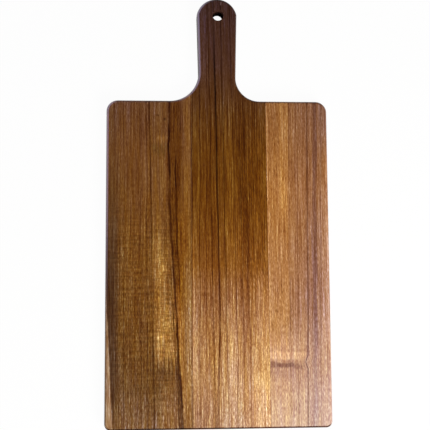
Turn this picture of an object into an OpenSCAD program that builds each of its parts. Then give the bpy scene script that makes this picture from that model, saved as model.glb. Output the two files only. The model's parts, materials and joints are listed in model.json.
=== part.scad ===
// Paddle serving board of three hardwood staves, glued edge to edge.
// It lies flat: X runs across the staves, Y along them with the handle at +Y, and Z up.
// The origin is the middle of the underside. The glued panel is sawn to its outline, its edges are
// rounded over on both faces by passes that follow the outline, and each stave is then the part of that
// panel between its joints, so that the staves and the glue lines meet flush on every face.

/* [Board] */
// Width of the body, across the staves
board_w = 230; // [170:1:320]
// Length of the body, from the foot to the shoulders
body_l = 336; // [220:1:480]
// Thickness of the panel
board_t = 18; // [12:0.5:28]
// Radius of the two corners at the foot
foot_corner_r = 6.5; // [5:0.5:30]
// Radius of the two corners at the shoulders
shoulder_corner_r = 11.5; // [5:0.5:30]

/* [Handle] */
// Length of the handle, from the shoulders to its tip
handle_l = 110; // [80:1:180]
// Width of the handle where its sides would meet the shoulders
neck_w = 37.6; // [30:0.2:44]
// Width of the handle where its sides run into the arc of its end
handle_end_w = 42; // [38:0.2:50]
// Rise of the end's arc, from where it leaves the sides to the tip
end_rise = 17; // [8:0.5:18]
// Radius of the fillet between the handle and the right shoulder
right_fillet_r = 25; // [10:0.5:35]
// Radius of the fillet between the handle and the left shoulder
left_fillet_r = 30; // [10:0.5:35]

/* [Hanging hole] */
// Diameter of the hole through the handle
hole_d = 11; // [6:0.5:16]
// Distance from the tip of the handle to the middle of the hole
hole_from_tip = 18.3; // [16:0.1:40]
// Distance of the hole from the centre line, to the right where positive
hole_off = 1.2; // [-4:0.1:4]
// Width of the small chamfer round both ends of the hole
hole_ease = 0.6; // [0.2:0.1:1.5]

/* [Edges] */
// Width of the round-over along every edge, on both faces
edge_r = 3; // [1:0.5:4]

/* [Staves] */
// Distance from the centre line to the left joint
left_joint_off = 27; // [23:0.5:70]
// Distance from the centre line to the right joint at the shoulders
right_joint_head_off = 50.3; // [26:0.1:70]
// Distance from the centre line to the right joint at the foot
right_joint_foot_off = 52.5; // [26:0.1:70]
// Thickness of the glue in each joint
glue_t = 0.2; // [0.1:0.05:0.4]

/* [Hidden] */
$fn = 96;

// How far a cut runs past the surface that it leaves
overrun = 2;
// An arc of the outline meets the line that it runs into at this angle, in degrees
break_a = 5;
// Radius of the round-over's arc against its width: above 1 the arc crosses both faces at a slight angle
round_share = 1.1;

// Levels along the board
overall_l = body_l + handle_l;
foot_y = -overall_l / 2;
shoulder_y = foot_y + body_l;
tip_y = overall_l / 2;
half_w = board_w / 2;

// The end's arc, through the ends of both sides and the tip
end_half_w = handle_end_w / 2;
end_r = (pow(end_half_w, 2) + pow(end_rise, 2)) / (2 * end_rise);
end_y = tip_y - end_r;

// The handle's sides, which spread towards the end
side_slope = (handle_end_w - neck_w) / 2 / (handle_l - end_rise);
side_a = atan(side_slope);
function side_x(y) = neck_w / 2 + (y - shoulder_y) * side_slope;

// A neck fillet of radius r on the +X side: its middle, and the points of both lines that lie nearest to it
function fillet_off(r) = r * cos(break_a);
function fillet_run(r) = fillet_off(r) * (1 + sin(side_a)) / cos(side_a);
function side_foot(r) = [
    neck_w / 2 + fillet_run(r) * sin(side_a), shoulder_y + fillet_run(r) * cos(side_a)
];
function fillet_mid(r) = side_foot(r) + fillet_off(r) * [cos(side_a), -sin(side_a)];
function shoulder_foot(r) = [fillet_mid(r).x, shoulder_y];
fillet_rs = [right_fillet_r, left_fillet_r];

// The round-over's arc: its radius, and how far its middle lies inside both faces
round_r = edge_r * round_share;
round_mid = (edge_r + sqrt(2 * pow(round_r, 2) - pow(edge_r, 2))) / 2;

hole_y = tip_y - hole_from_tip;
hole_r = hole_d / 2;

// The joints, each as its middle's places across the board at a level below the foot and one above the tip
low_y = foot_y - overrun;
high_y = tip_y + overrun;
right_joint_slope = (right_joint_head_off - right_joint_foot_off) / body_l;
function right_joint_x(y) = right_joint_foot_off + (y - foot_y) * right_joint_slope;
left_joint = [-left_joint_off, -left_joint_off];
right_joint = [right_joint_x(low_y), right_joint_x(high_y)];
half_glue = [glue_t / 2, glue_t / 2];
outside = half_w + overrun;

// Distance from a corner's edges to the middle of its arc
function corner_in(r) = r * cos(break_a);

// What is sawn off a square corner, which stands at the origin with the wood at -X and -Y
module corner_waste(r) {
    difference() {
        translate([-corner_in(r), -corner_in(r)])
            square(corner_in(r) + overrun);
        translate([-corner_in(r), -corner_in(r)])
            circle(r = r);
    }
}

// What is sawn off beyond the end's arc
module end_waste() {
    translate([0, end_y])
        difference() {
            translate([-handle_end_w, 0])
                square([2 * handle_end_w, end_r + 2 * overrun]);
            circle(r = end_r);
        }
}

// The handle with straight sides, run past the tip and down into the body
module handle_blank() {
    root_y = shoulder_y - overrun;
    polygon([
        [-side_x(root_y), root_y], [side_x(root_y), root_y],
        [side_x(high_y), high_y], [-side_x(high_y), high_y]
    ]);
}

// The wood on both sides of the handle that the neck fillets are cut from
module neck_web() {
    root_y = shoulder_y - overrun;
    right_foot = shoulder_foot(right_fillet_r);
    left_foot = shoulder_foot(left_fillet_r);
    left_side = side_foot(left_fillet_r);
    polygon([
        [-left_foot.x, root_y], [right_foot.x, root_y], right_foot,
        side_foot(right_fillet_r), [-left_side.x, left_side.y], [-left_foot.x, left_foot.y]
    ]);
}

// The whole board's outline
module outline() {
    difference() {
        union() {
            translate([-half_w, foot_y])
                square([board_w, body_l]);
            handle_blank();
            neck_web();
        }
        end_waste();
        for (side = [0, 1])
            mirror([side, 0]) {
                translate(fillet_mid(fillet_rs[side]))
                    circle(r = fillet_rs[side]);
                translate([half_w, shoulder_y])
                    corner_waste(shoulder_corner_r);
                translate([half_w, foot_y])
                    mirror([0, 1])
                        corner_waste(foot_corner_r);
            }
    }
}

// Section of the round-over's waste: the edge stands at the origin, the wood lies at +X and -Y
module round_over_section() {
    difference() {
        translate([-overrun, -round_mid])
            square(round_mid + overrun);
        translate([round_mid, -round_mid])
            circle(r = round_r);
    }
}

// Round-over along a straight edge of the upper face, with the wood on the left of the way it runs
module line_pass(from, to) {
    way = to - from;
    translate([from.x, from.y, board_t / 2])
        rotate([90, 0, 90 + atan2(way.y, way.x)])
            linear_extrude(norm(way))
                round_over_section();
}

// Round-over along an arc of the upper face, with the wood inside the circle or outside it
module arc_pass(mid, r, start, sweep, wood_inside) {
    translate([mid.x, mid.y, board_t / 2])
        rotate(start)
            rotate_extrude(angle = sweep)
                translate([r, 0])
                    mirror([wood_inside ? 1 : 0, 0])
                        round_over_section();
}

// Every pass round the upper face
// At a convex corner the line passes run on into the air, and at a neck fillet the arc pass does
module edge_passes() {
    line_pass([-half_w, foot_y], [half_w, foot_y]);
    arc_pass([0, end_y], end_r, 0, 180, true);
    for (side = [0, 1])
        mirror([side, 0, 0]) {
            line_pass([half_w, foot_y], [half_w, shoulder_y]);
            line_pass([half_w, shoulder_y], shoulder_foot(fillet_rs[side]));
            line_pass(side_foot(fillet_rs[side]), [side_x(tip_y), tip_y]);
            arc_pass(
                [half_w - corner_in(foot_corner_r), foot_y + corner_in(foot_corner_r)],
                foot_corner_r, -90, 90, true
            );
            arc_pass(
                [half_w - corner_in(shoulder_corner_r), shoulder_y - corner_in(shoulder_corner_r)],
                shoulder_corner_r, 0, 90, true
            );
            arc_pass(
                fillet_mid(fillet_rs[side]), fillet_rs[side],
                180 - side_a - 2 * break_a, 90 + side_a + 4 * break_a, false
            );
        }
}

// The glued panel, sawn to its outline and rounded over on both faces
module panel() {
    translate([0, 0, board_t / 2])
        difference() {
            linear_extrude(board_t, center = true)
                outline();
            for (face = [0, 1])
                mirror([0, 0, face])
                    edge_passes();
        }
}

// The part of the panel between two lines, each given by its places across the board at both levels
module between(left_line, right_line) {
    intersection() {
        panel();
        translate([0, 0, -overrun])
            linear_extrude(board_t + 2 * overrun)
                polygon([
                    [left_line[0], low_y], [right_line[0], low_y],
                    [right_line[1], high_y], [left_line[1], high_y]
                ]);
    }
}

// Cutter for the hanging hole: a bore, and a small chamfer at each face
module hanging_hole() {
    translate([hole_off, hole_y, board_t / 2]) {
        cylinder(h = board_t + 2 * overrun, r = hole_r, center = true);
        for (face = [0, 1])
            mirror([0, 0, face])
                translate([0, 0, board_t / 2 - hole_ease - overrun])
                    cylinder(
                        h = hole_ease + 2 * overrun,
                        r1 = hole_r - overrun,
                        r2 = hole_r + hole_ease + overrun
                    );
    }
}

module left_stave() {
    color("saddlebrown")
        between([-outside, -outside], left_joint - half_glue);
}

module centre_stave() {
    color("sienna")
        difference() {
            between(left_joint + half_glue, right_joint - half_glue);
            hanging_hole();
        }
}

module right_stave() {
    color("peru")
        between(right_joint + half_glue, [outside, outside]);
}

module left_glue_line() {
    color("tan")
        between(left_joint - half_glue, left_joint + half_glue);
}

module right_glue_line() {
    color("tan")
        between(right_joint - half_glue, right_joint + half_glue);
}

left_stave();
centre_stave();
right_stave();
left_glue_line();
right_glue_line();
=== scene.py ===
# %% [markdown]
# Paddle serving board
# This lesson dresses a packed CAD model of a paddle board: three hardwood staves, glued edge to edge, with
# a handle that is one piece with the middle stave. The CAD model is loaded first and stays fixed, so every
# piece made here is put where the CAD says, in metres: X across the staves, Y along them towards the
# handle, and Z up. The box of the CAD model is kept, because the dressed board has to stay in it.

import json
import math

import bmesh
import bpy
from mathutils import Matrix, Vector


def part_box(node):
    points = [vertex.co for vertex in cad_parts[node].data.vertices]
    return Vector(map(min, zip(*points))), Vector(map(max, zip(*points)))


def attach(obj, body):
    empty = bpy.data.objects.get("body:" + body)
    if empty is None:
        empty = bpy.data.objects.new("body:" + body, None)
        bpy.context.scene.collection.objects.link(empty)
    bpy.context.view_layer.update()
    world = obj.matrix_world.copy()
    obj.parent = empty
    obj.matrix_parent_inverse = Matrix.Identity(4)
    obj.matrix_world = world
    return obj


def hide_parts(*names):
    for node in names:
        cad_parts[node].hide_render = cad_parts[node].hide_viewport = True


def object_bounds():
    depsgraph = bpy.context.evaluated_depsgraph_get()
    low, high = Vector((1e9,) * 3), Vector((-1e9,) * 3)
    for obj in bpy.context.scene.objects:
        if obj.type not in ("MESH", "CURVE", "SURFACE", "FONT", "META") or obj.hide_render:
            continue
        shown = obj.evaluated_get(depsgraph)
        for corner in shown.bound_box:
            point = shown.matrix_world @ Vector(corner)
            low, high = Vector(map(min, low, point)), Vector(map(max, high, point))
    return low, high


MM = 0.001

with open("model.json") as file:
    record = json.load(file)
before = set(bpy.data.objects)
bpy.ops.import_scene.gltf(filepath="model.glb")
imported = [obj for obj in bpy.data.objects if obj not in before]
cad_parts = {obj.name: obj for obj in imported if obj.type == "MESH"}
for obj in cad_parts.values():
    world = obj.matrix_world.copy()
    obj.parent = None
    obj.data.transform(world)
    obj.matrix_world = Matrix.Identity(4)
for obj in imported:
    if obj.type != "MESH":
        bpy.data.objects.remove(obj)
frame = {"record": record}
cad_low, cad_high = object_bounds()
print("CAD box in mm:", [round(size / MM, 1) for size in cad_high - cad_low])

# %% [markdown]
# Sizes
# The outline is a rectangle with a handle, so a few sizes drive all of it. They could all be written here,
# but a size that is read follows the CAD when that changes, so the outer sizes, the hole and the joints
# come from the frame and its record. Only the radii, the handle's form and the widths of the eased edges
# are written out. The handle spreads a little towards its end, which is an arc flatter than a half circle.

# %% Name the board's sizes
half_width = cad_high.x
foot = cad_low.y
tip = cad_high.y
thickness = cad_high.z - cad_low.z
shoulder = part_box("right_stave")[1].y

foot_corner = 6.5 * MM
shoulder_corner = 11.5 * MM
fillet_radii = {1: 25 * MM, -1: 30 * MM}
neck_half = 18.8 * MM
end_half = 21 * MM
end_rise = 17 * MM
round_over = 3 * MM
hole_ease = 0.6 * MM

hole_mount = next(m for m in frame["record"]["mounts"] if m["name"] == "hanging_hole")
hole_x, hole_y, _ = hole_mount["pos_m"]
hole_r = hole_mount["dims"]["r_mm"] * MM
print("Shoulders at", round(shoulder / MM, 1), "mm, hole at", round(hole_y / MM, 1), "mm")

# %% [markdown]
# A pen for lines and arcs
# A board maker draws the outline with a ruler and compasses. Here one vertex is the pen: extruding it draws
# a straight line, and spinning it about a point draws an arc. A bevel on sharp corners would round them as
# well, but the pen gives each radius exactly.

# %% Make the pen
ARC_STEPS = 14
UP = (0.0, 0.0, 1.0)


def line_to(bm, pen, x, y):
    """Draws a straight line and returns the pen's new place."""
    drawn = bmesh.ops.extrude_vert_indiv(bm, verts=[pen])
    end = drawn["verts"][0]
    bmesh.ops.translate(bm, verts=[end], vec=Vector((x, y, 0.0)) - pen.co)
    return end


def arc_about(bm, pen, x, y, turn, steps=ARC_STEPS):
    """Draws an arc about a point, anticlockwise where turn is positive, and returns the pen's new place."""
    drawn = bmesh.ops.spin(
        bm, geom=[pen], cent=(x, y, 0.0), axis=UP, angle=turn, steps=steps, use_duplicate=False
    )
    return next(v for v in drawn["geom_last"] if isinstance(v, bmesh.types.BMVert))


print("The pen draws an arc in", ARC_STEPS, "steps")

# %% [markdown]
# Both halves of the outline
# A face can't have a hole in it, so the outline is drawn in two halves that meet on a line through the
# hole's middle, and each half goes round half the hole. One half could be mirrored, but the two neck fillets
# differ and the hole lies a little off the middle, so one function draws each side with its own values.

# %% Draw both halves of the outline
quarter = math.pi / 2
side_lean = math.atan((end_half - neck_half) / (tip - end_rise - shoulder))
end_r = (end_half ** 2 + end_rise ** 2) / (2 * end_rise)
end_start = math.asin((end_r - end_rise) / end_r)


def draw_half(bm, side):
    """Draws the outline on one side of the hole's middle: 1 is the right side and -1 the left."""
    foot_x = side * (half_width - foot_corner)
    shoulder_x = side * (half_width - shoulder_corner)
    fillet = fillet_radii[side]
    fillet_run = fillet * (1 + math.sin(side_lean)) / math.cos(side_lean)
    fillet_x = side * (neck_half + fillet_run * math.sin(side_lean) + fillet * math.cos(side_lean))
    end_turn = side * (quarter - end_start) - math.asin(hole_x / end_r)
    start = bm.verts.new((hole_x, foot, 0.0))
    pen = line_to(bm, start, foot_x, foot)
    pen = arc_about(bm, pen, foot_x, foot + foot_corner, side * quarter)
    pen = line_to(bm, pen, side * half_width, shoulder - shoulder_corner)
    pen = arc_about(bm, pen, shoulder_x, shoulder - shoulder_corner, side * quarter)
    pen = line_to(bm, pen, fillet_x, shoulder)
    pen = arc_about(bm, pen, fillet_x, shoulder + fillet, -side * (quarter + side_lean))
    pen = line_to(bm, pen, side * end_half, tip - end_rise)
    pen = arc_about(bm, pen, 0.0, tip - end_r, end_turn, 2 * ARC_STEPS)
    pen = line_to(bm, pen, hole_x, hole_y + hole_r)
    pen = arc_about(bm, pen, hole_x, hole_y, -side * 2 * quarter, 2 * ARC_STEPS)
    bmesh.ops.contextual_create(bm, geom=[pen, start])
    bmesh.ops.contextual_create(bm, geom=[e for e in bm.edges if not e.link_faces])


blank = bmesh.new()
for side in (1, -1):
    draw_half(blank, side)
print("Outline:", len(blank.verts), "points and", len(blank.faces), "faces")

# %% [markdown]
# From outline to panel
# The glued panel is sawn to the outline. Here the halves are welded along their shared line and extruded to
# the panel's thickness. A Solidify modifier would thicken them too, but the next steps need the real edges
# of the wall. The left half was drawn clockwise and faces down, so normals are recalculated.

# %% Weld the halves and give them thickness
WELD = 0.001 * MM

bmesh.ops.remove_doubles(blank, verts=blank.verts[:], dist=WELD)
bmesh.ops.recalc_face_normals(blank, faces=blank.faces[:])
raised = bmesh.ops.extrude_face_region(blank, geom=blank.faces[:])
raised_verts = [v for v in raised["geom"] if isinstance(v, bmesh.types.BMVert)]
bmesh.ops.translate(blank, verts=raised_verts, vec=(0.0, 0.0, thickness))
bmesh.ops.recalc_face_normals(blank, faces=blank.faces[:])
print("Panel:", len(blank.faces), "faces, watertight:", all(e.is_manifold for e in blank.edges))

# %% [markdown]
# The round-over
# A router with a bearing runs round both faces and leaves a quarter round on every edge, also inside the
# neck. A bevel with several segments does the same to the edges between the flat faces and the wall. A Bevel
# modifier would round the hole and the sawn joints as well, so the operator is given its edges instead, and
# the hole's rims are only eased. A narrow inset then frames the flat faces: it gives the smooth shading of
# the round-over a place to end, so that the faces stay flat up to their edge.

# %% Round over the edges and ease the hole
ROUND_SEGMENTS = 6
EASE_SEGMENTS = 2
FRAME_WIDTH = 0.5 * MM
FLAT = 0.999
HOLE_REACH = 1.5 * hole_r
WOOD, BORE = 0, 1


def is_flat(face):
    return abs(face.normal.z) > FLAT


def at_hole(point):
    return math.hypot(point.x - hole_x, point.y - hole_y) < HOLE_REACH


def rims(bm, of_hole):
    """The edges between the flat faces and the wall, of the outline or of the hole."""
    found = []
    for edge in bm.edges:
        flats = [is_flat(face) for face in edge.link_faces]
        middle = (edge.verts[0].co + edge.verts[1].co) / 2
        if sorted(flats) == [False, True] and at_hole(middle) == of_hole:
            found.append(edge)
    return found


def round_edges(bm, edges, width, segments):
    bmesh.ops.bevel(
        bm, geom=edges, offset=width, offset_type="OFFSET", segments=segments,
        profile=0.5, affect="EDGES", clamp_overlap=False, loop_slide=True, material=-1,
    )


round_edges(blank, rims(blank, of_hole=False), round_over, ROUND_SEGMENTS)
round_edges(blank, rims(blank, of_hole=True), hole_ease, EASE_SEGMENTS)
bmesh.ops.inset_region(
    blank, faces=[f for f in blank.faces if is_flat(f)],
    thickness=FRAME_WIDTH, use_even_offset=True, use_boundary=True,
)
for face in blank.faces:
    in_bore = not is_flat(face) and at_hole(face.calc_center_median())
    face.material_index = BORE if in_bore else WOOD
print("Rounded panel:", len(blank.faces), "faces")

# %% [markdown]
# Where the joints lie
# The left joint runs straight along the board. The right joint leans a little and stands further out at the
# foot. Their places could be written here once more, but the boxes of the two glue lines hold them already:
# the box of the leaning one is wider than its glue, and the rest of that width is the lean.

# %% Find the joints
left_glue = [corner.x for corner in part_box("left_glue_line")]
right_glue = [corner.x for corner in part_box("right_glue_line")]
glue_width = left_glue[1] - left_glue[0]
joint_lean = math.atan((right_glue[1] - right_glue[0] - glue_width) / (shoulder - foot))
to_left = Vector((-1.0, 0.0, 0.0))
to_right = Vector((math.cos(joint_lean), math.sin(joint_lean), 0.0))
left_out = Vector((left_glue[0], foot, 0.0))
left_in = Vector((left_glue[1], foot, 0.0))
right_in = Vector((right_glue[1] - glue_width, foot, 0.0))
right_out = Vector((right_glue[1], foot, 0.0))
print("The right joint leans by", round(math.degrees(joint_lean), 2), "degrees")

# %% [markdown]
# Staves and glue lines
# On the real board the staves are glued first and shaped afterwards, so their faces and edges run flush
# across the joints. The same order is kept here: every piece is a copy of the finished panel, sawn along
# its joints, and the sawn face is closed. A Boolean would saw as well, but bisect_plane needs no cutter
# object and leaves one clean rim to fill.

# %% Saw the panel into its pieces
SHARP = math.radians(40)


def saw(bm, place, away):
    """Removes what lies beyond a plane and closes the sawn face."""
    sawn = bmesh.ops.bisect_plane(
        bm, geom=bm.verts[:] + bm.edges[:] + bm.faces[:], dist=WELD,
        plane_co=place, plane_no=away, clear_outer=True,
    )
    rim = [e for e in sawn["geom_cut"] if isinstance(e, bmesh.types.BMEdge)]
    bmesh.ops.contextual_create(bm, geom=rim)


def finish_piece(bm, name):
    """Sets smooth shading up to the sharp edges and makes the object."""
    bmesh.ops.recalc_face_normals(bm, faces=bm.faces[:])
    for face in bm.faces:
        face.smooth = True
    for edge in bm.edges:
        edge.smooth = edge.calc_face_angle(math.pi) < SHARP
    closed = all(edge.is_manifold for edge in bm.edges)
    mesh = bpy.data.meshes.new(name)
    bm.to_mesh(mesh)
    bm.free()
    piece = bpy.data.objects.new(name, mesh)
    bpy.context.scene.collection.objects.link(piece)
    print(name, len(mesh.polygons), "faces, closed:", closed)
    return piece


cuts = {
    "left_board": [(left_out, -to_left)],
    "handle_board": [(left_in, to_left), (right_in, to_right)],
    "right_board": [(right_out, -to_right)],
    "left_seam": [(left_out, to_left), (left_in, -to_left)],
    "right_seam": [(right_in, -to_right), (right_out, to_right)],
}
pieces = {}
for name, planes in cuts.items():
    work = blank.copy()
    for place, away in planes:
        saw(work, place, away)
    pieces[name] = finish_piece(work, name)
blank.free()

# %% [markdown]
# The camera
# The camera stands almost straight above the board, a little left of it and below its middle, so that the
# left wall of the handle and the upper wall of the hole just show. Its place, turn and focal length were
# found by fitting the outline and both rims of the hole to their places in the picture.

# %% Set the camera
SENSOR_WIDTH = 36
FOCAL_LENGTH = 67.4
CAMERA_PLACE = (-0.05385, -0.08984, 0.84004)
CAMERA_TURNS = (5.768, -3.492, -0.352)

camera_data = bpy.data.cameras.new("photo_camera")
camera_data.sensor_width = SENSOR_WIDTH
camera_data.lens = FOCAL_LENGTH
camera = bpy.data.objects.new("photo_camera", camera_data)
camera.location = CAMERA_PLACE
camera.rotation_euler = [math.radians(turn) for turn in CAMERA_TURNS]
bpy.context.scene.collection.objects.link(camera)
bpy.context.scene.camera = camera
print("Camera at", [round(c, 3) for c in camera.location], "m")

# %% [markdown]
# Tools for the finishes
# Wood is the same through and through, so each finish is a pattern in space and not a picture on the
# surface: one growth line shows on the face, on the round-over and on the end grain. Such a pattern is built
# from many small shader nodes. They could be placed one by one, but a few helpers keep the script readable:
# one adds a node and feeds its inputs, one does a sum, and one ramps a value up between two limits.

# %% Helpers: nodes, sums and ramps


def feed(tree, socket, source):
    """Links a socket to another node's output, or sets its value."""
    if isinstance(source, bpy.types.NodeSocket):
        tree.links.new(source, socket)
    else:
        socket.default_value = source


def add(tree, kind, sources=None, **settings):
    """Adds a node, sets it up and feeds its inputs."""
    node = tree.nodes.new("ShaderNode" + kind)
    for key, value in settings.items():
        setattr(node, key, value)
    for key, source in (sources or {}).items():
        feed(tree, node.inputs[key], source)
    return node


def calc(tree, operation, *values):
    """The result of one Math node."""
    return add(tree, "Math", dict(enumerate(values)), operation=operation).outputs[0]


def step(tree, value, start, end, smooth=True, first=0.0, last=1.0):
    """A ramp from a first value at start to a last value at end."""
    kind = "SMOOTHSTEP" if smooth else "LINEAR"
    limits = {"Value": value, "From Min": start, "From Max": end, "To Min": first, "To Max": last}
    return add(tree, "MapRange", limits, interpolation_type=kind).outputs["Result"]


print("Helpers:", [helper.__name__ for helper in (feed, add, calc, step)])

# %% [markdown]
# Soft noise
# Nothing in wood is quite even, so soft noise shifts or breaks up every pattern below. Noise with three
# coordinates would be the same in all staves. Here it has a fourth one, which serves as a seed.

# %% Helpers: soft noise


def spots(tree, seed, x, y, z=0.0):
    """Soft noise at a place."""
    where = add(tree, "CombineXYZ", {"X": x, "Y": y, "Z": z}).outputs[0]
    inputs = {"Vector": where, "W": seed, "Scale": 1.0, "Detail": 1.0}
    return add(tree, "TexNoise", inputs, noise_dimensions="4D").outputs[0]


def both_ways(tree, noise, size):
    """Noise, which lies about a half, made to swing by a size to both sides of zero."""
    return calc(tree, "MULTIPLY", calc(tree, "MULTIPLY_ADD", noise, 4.0, -2.0), size)


print("Helpers:", [helper.__name__ for helper in (spots, both_ways)])

# %% [markdown]
# Node groups
# What several finishes share is built once as a node group with named sockets, and placed in each material
# with its own values. The same nodes could be made again in every material, but then nobody could mend
# them in one place.

# %% Helpers: node groups


def new_group(name, inputs, outputs, colours=()):
    """A node group with its sockets, which carry values, or colours where they are named so."""
    group = bpy.data.node_groups.new(name, "ShaderNodeTree")
    for label, value in inputs.items():
        socket = group.interface.new_socket(label, in_out="INPUT", socket_type="NodeSocketFloat")
        socket.default_value = value
    for label in outputs:
        kind = "NodeSocketColor" if label in colours else "NodeSocketFloat"
        group.interface.new_socket(label, in_out="OUTPUT", socket_type=kind)
    entry = group.nodes.new("NodeGroupInput").outputs
    result = group.nodes.new("NodeGroupOutput").inputs
    return group, entry, result


def use(tree, group, values):
    """Places a node group with its own values and returns its outputs."""
    return add(tree, "Group", values, node_tree=group).outputs


print("Helpers:", [helper.__name__ for helper in (new_group, use)])

# %% [markdown]
# Where a point lies in the wood
# Every pattern below asks the same question: how far across the board is this point, how far along, and
# how deep. The first group answers in millimetres. Growth rings stand at a slant in a sawn stave, so the
# place across shifts with the depth. The fibres wander a little, which slow noise gives, and at a small
# healed wound they bend aside in one place. Each pattern could do that by itself, but since all of them
# read this group, lines, streaks and patches bend together. The straight place across is put out too, for
# the joints.

# %% Group: place in the grain
BEND_WIDTH = 14.0
BEND_LENGTH = 7.0
SLOW_WANDER = (70.0, 190.0, 1.0)
QUICK_WANDER = (25.0, 45.0, 0.35)

grain_place, entry, result = new_group(
    "grain_place",
    {"Tilt": 0.0, "Wander": 1.0, "Seed": 0.0, "Bend": 0.0, "Bend across": 0.0, "Bend along": 0.0},
    ["Across", "Along", "Depth", "Straight"],
)
coordinates = add(grain_place, "TexCoord").outputs["Object"]
in_mm = add(grain_place, "VectorMath", {0: coordinates, "Scale": 1 / MM}, operation="SCALE").outputs[0]
axes = add(grain_place, "SeparateXYZ", {0: in_mm}).outputs


def wander_of(reach_across, reach_along, share):
    """Slow noise that shifts the fibres to both sides, by its share of the wander."""
    noise = spots(
        grain_place, entry["Seed"],
        calc(grain_place, "DIVIDE", axes["X"], reach_across),
        calc(grain_place, "DIVIDE", axes["Y"], reach_along),
        calc(grain_place, "DIVIDE", axes["Z"], reach_across),
    )
    return calc(grain_place, "MULTIPLY", both_ways(grain_place, noise, 0.5 * share), entry["Wander"])


def nearness(axis, middle, reach):
    """1 at the middle of the bend and 0 beyond its reach."""
    away = calc(grain_place, "ABSOLUTE", calc(grain_place, "SUBTRACT", axis, middle))
    return calc(grain_place, "SUBTRACT", 1.0, step(grain_place, away, 0.0, reach, smooth=False))


below_face = calc(grain_place, "SUBTRACT", axes["Z"], thickness / MM)
across = calc(grain_place, "MULTIPLY_ADD", below_face, entry["Tilt"], axes["X"])
across = calc(grain_place, "ADD", across, wander_of(*SLOW_WANDER))
across = calc(grain_place, "ADD", across, wander_of(*QUICK_WANDER))
at_bend = calc(
    grain_place, "MULTIPLY",
    nearness(axes["X"], entry["Bend across"], BEND_WIDTH),
    nearness(axes["Y"], entry["Bend along"], BEND_LENGTH),
)
across = calc(grain_place, "MULTIPLY_ADD", at_bend, entry["Bend"], across)
feed(grain_place, result["Across"], across)
feed(grain_place, result["Along"], axes["Y"])
feed(grain_place, result["Depth"], axes["Z"])
feed(grain_place, result["Straight"], axes["X"])
print("Group", grain_place.name, "has", len(grain_place.nodes), "nodes")

# %% [markdown]
# Streaks and pores
# Wood cells are long tubes, so all its fine detail is stretched along the grain. Noise that is squeezed
# across and drawn out along gives streaks. On the end grain the same noise is cut across and shows round
# dots, as real end grain does. Pores are the sharp tops of finer noise. With a large width and a small
# length the same group makes the ripple of a figured stave, which runs across the grain.

# %% Groups: streaks and pores
SPACE = {"Across": 0.0, "Along": 0.0, "Depth": 0.0}
STREAK_RANGE = (0.27, 0.73)
PORE_EDGE = 0.08


def stretched_noise(tree, entry):
    return spots(
        tree, entry["Seed"],
        calc(tree, "DIVIDE", entry["Across"], entry["Width"]),
        calc(tree, "DIVIDE", entry["Along"], entry["Length"]),
        calc(tree, "DIVIDE", entry["Depth"], entry["Width"]),
    )


streaks, entry, result = new_group(
    "streaks", {**SPACE, "Width": 1.0, "Length": 40.0, "Seed": 0.0}, ["Value"]
)
streaked = stretched_noise(streaks, entry)
feed(streaks, result["Value"], step(streaks, streaked, *STREAK_RANGE, smooth=False))

pores, entry, result = new_group(
    "pores", {**SPACE, "Width": 0.6, "Length": 5.0, "Seed": 0.0, "Level": 0.6}, ["Mask"]
)
fully = calc(pores, "ADD", entry["Level"], PORE_EDGE)
feed(pores, result["Mask"], step(pores, stretched_noise(pores, entry), entry["Level"], fully))
print("Groups", streaks.name, "and", pores.name)

# %% [markdown]
# Growth lines
# The dark lines along the board are edges of growth rings. Each is a curve that leans one way above a
# level and another way below it, wobbles a little, and varies in width and strength. The group measures how
# far a point is from that curve. It puts out the line itself, and a mask of everything to the right of it.
# A lean is given in millimetres to the side for every hundred along the board. A Wave texture could draw
# such lines too, but evenly spaced and all alike, so each line is placed by itself.

# %% Group: growth line
LEAN_RUN = 100.0
TURN_SOFTNESS = 0.3
WOBBLE_REACH = 24.0
SWELL_REACH = 40.0
SWELL = (1.2, 0.4)
BREAK_REACH = 32.0
BREAK_RANGE = (0.42, 0.68)
LINE_CORE = 0.2

growth_line, entry, result = new_group(
    "growth_line",
    {"Across": 0.0, "Along": 0.0, "Place": 0.0, "Turn": 0.0, "Lean above": 0.0, "Lean below": 0.0,
     "Width": 1.0, "Wobble": 0.5, "Breaks": 0.3, "Seed": 0.0},
    ["Line", "Right of it"],
)


def along_line(reach, row):
    """Noise that varies only along the line."""
    return spots(growth_line, entry["Seed"], calc(growth_line, "DIVIDE", entry["Along"], reach), row)


from_turn = calc(growth_line, "SUBTRACT", entry["Along"], entry["Turn"])
from_turn = calc(growth_line, "DIVIDE", from_turn, LEAN_RUN)
above = calc(growth_line, "SMOOTH_MAX", from_turn, 0.0, TURN_SOFTNESS)
below = calc(growth_line, "SUBTRACT", from_turn, above)
path = calc(growth_line, "MULTIPLY_ADD", above, entry["Lean above"], entry["Place"])
path = calc(growth_line, "MULTIPLY_ADD", below, entry["Lean below"], path)
shake = both_ways(growth_line, along_line(WOBBLE_REACH, 0.0), 0.5)
path = calc(growth_line, "MULTIPLY_ADD", shake, entry["Wobble"], path)
distance = calc(growth_line, "SUBTRACT", entry["Across"], path)
swell = calc(growth_line, "MULTIPLY_ADD", along_line(SWELL_REACH, 5.0), *SWELL)
reach = calc(growth_line, "MULTIPLY", swell, entry["Width"])
off_line = calc(growth_line, "DIVIDE", calc(growth_line, "ABSOLUTE", distance), reach)
line = calc(growth_line, "SUBTRACT", 1.0, step(growth_line, off_line, LINE_CORE, 1.0))
gaps = step(growth_line, along_line(BREAK_REACH, 9.0), *BREAK_RANGE)
gaps = calc(growth_line, "MULTIPLY", gaps, entry["Breaks"])
line = calc(growth_line, "MULTIPLY", line, calc(growth_line, "SUBTRACT", 1.0, gaps))
feed(growth_line, result["Line"], line)
sideways = calc(growth_line, "DIVIDE", distance, entry["Width"])
feed(growth_line, result["Right of it"], step(growth_line, sideways, -1.0, 1.0))
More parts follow.
